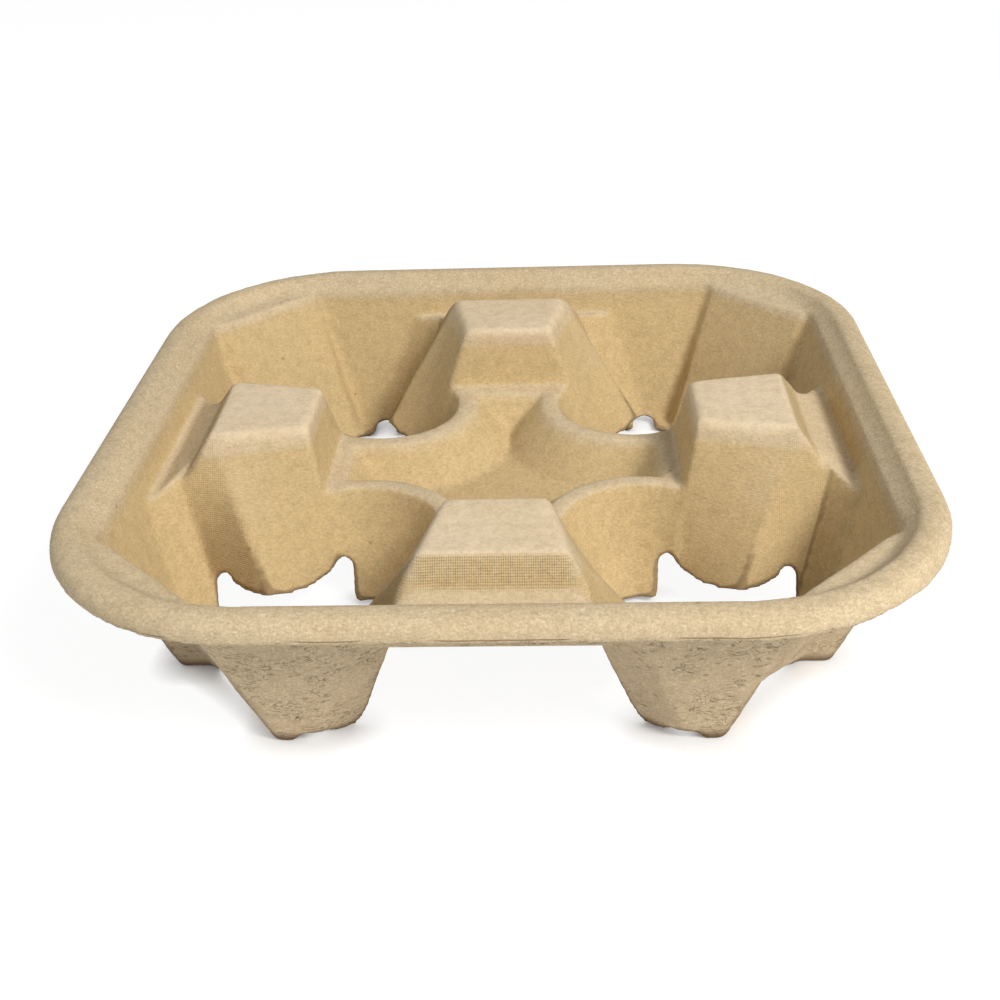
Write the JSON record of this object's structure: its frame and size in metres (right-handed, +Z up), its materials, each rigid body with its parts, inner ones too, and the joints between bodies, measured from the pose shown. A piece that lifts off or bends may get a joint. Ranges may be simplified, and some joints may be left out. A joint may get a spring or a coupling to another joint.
{
  "type": "cup carrier tray",
  "caption": "Square moulded-pulp drink carrier tray with a rolled rim, raised posts between open cup wells, a sunken star-shaped hub and splayed feet.",
  "frame": {"origin": "on the ground under the middle of the tray", "axes": "+Z up, +X and +Y square to the sides"},
  "size_m": [0.215, 0.215, 0.05],
  "materials": {
    "pulp": "matte fibrous moulded pulp"
  },
  "bodies": {
    "root": {"cup_carrier": "pulp"}
  },
  "joints": []
}
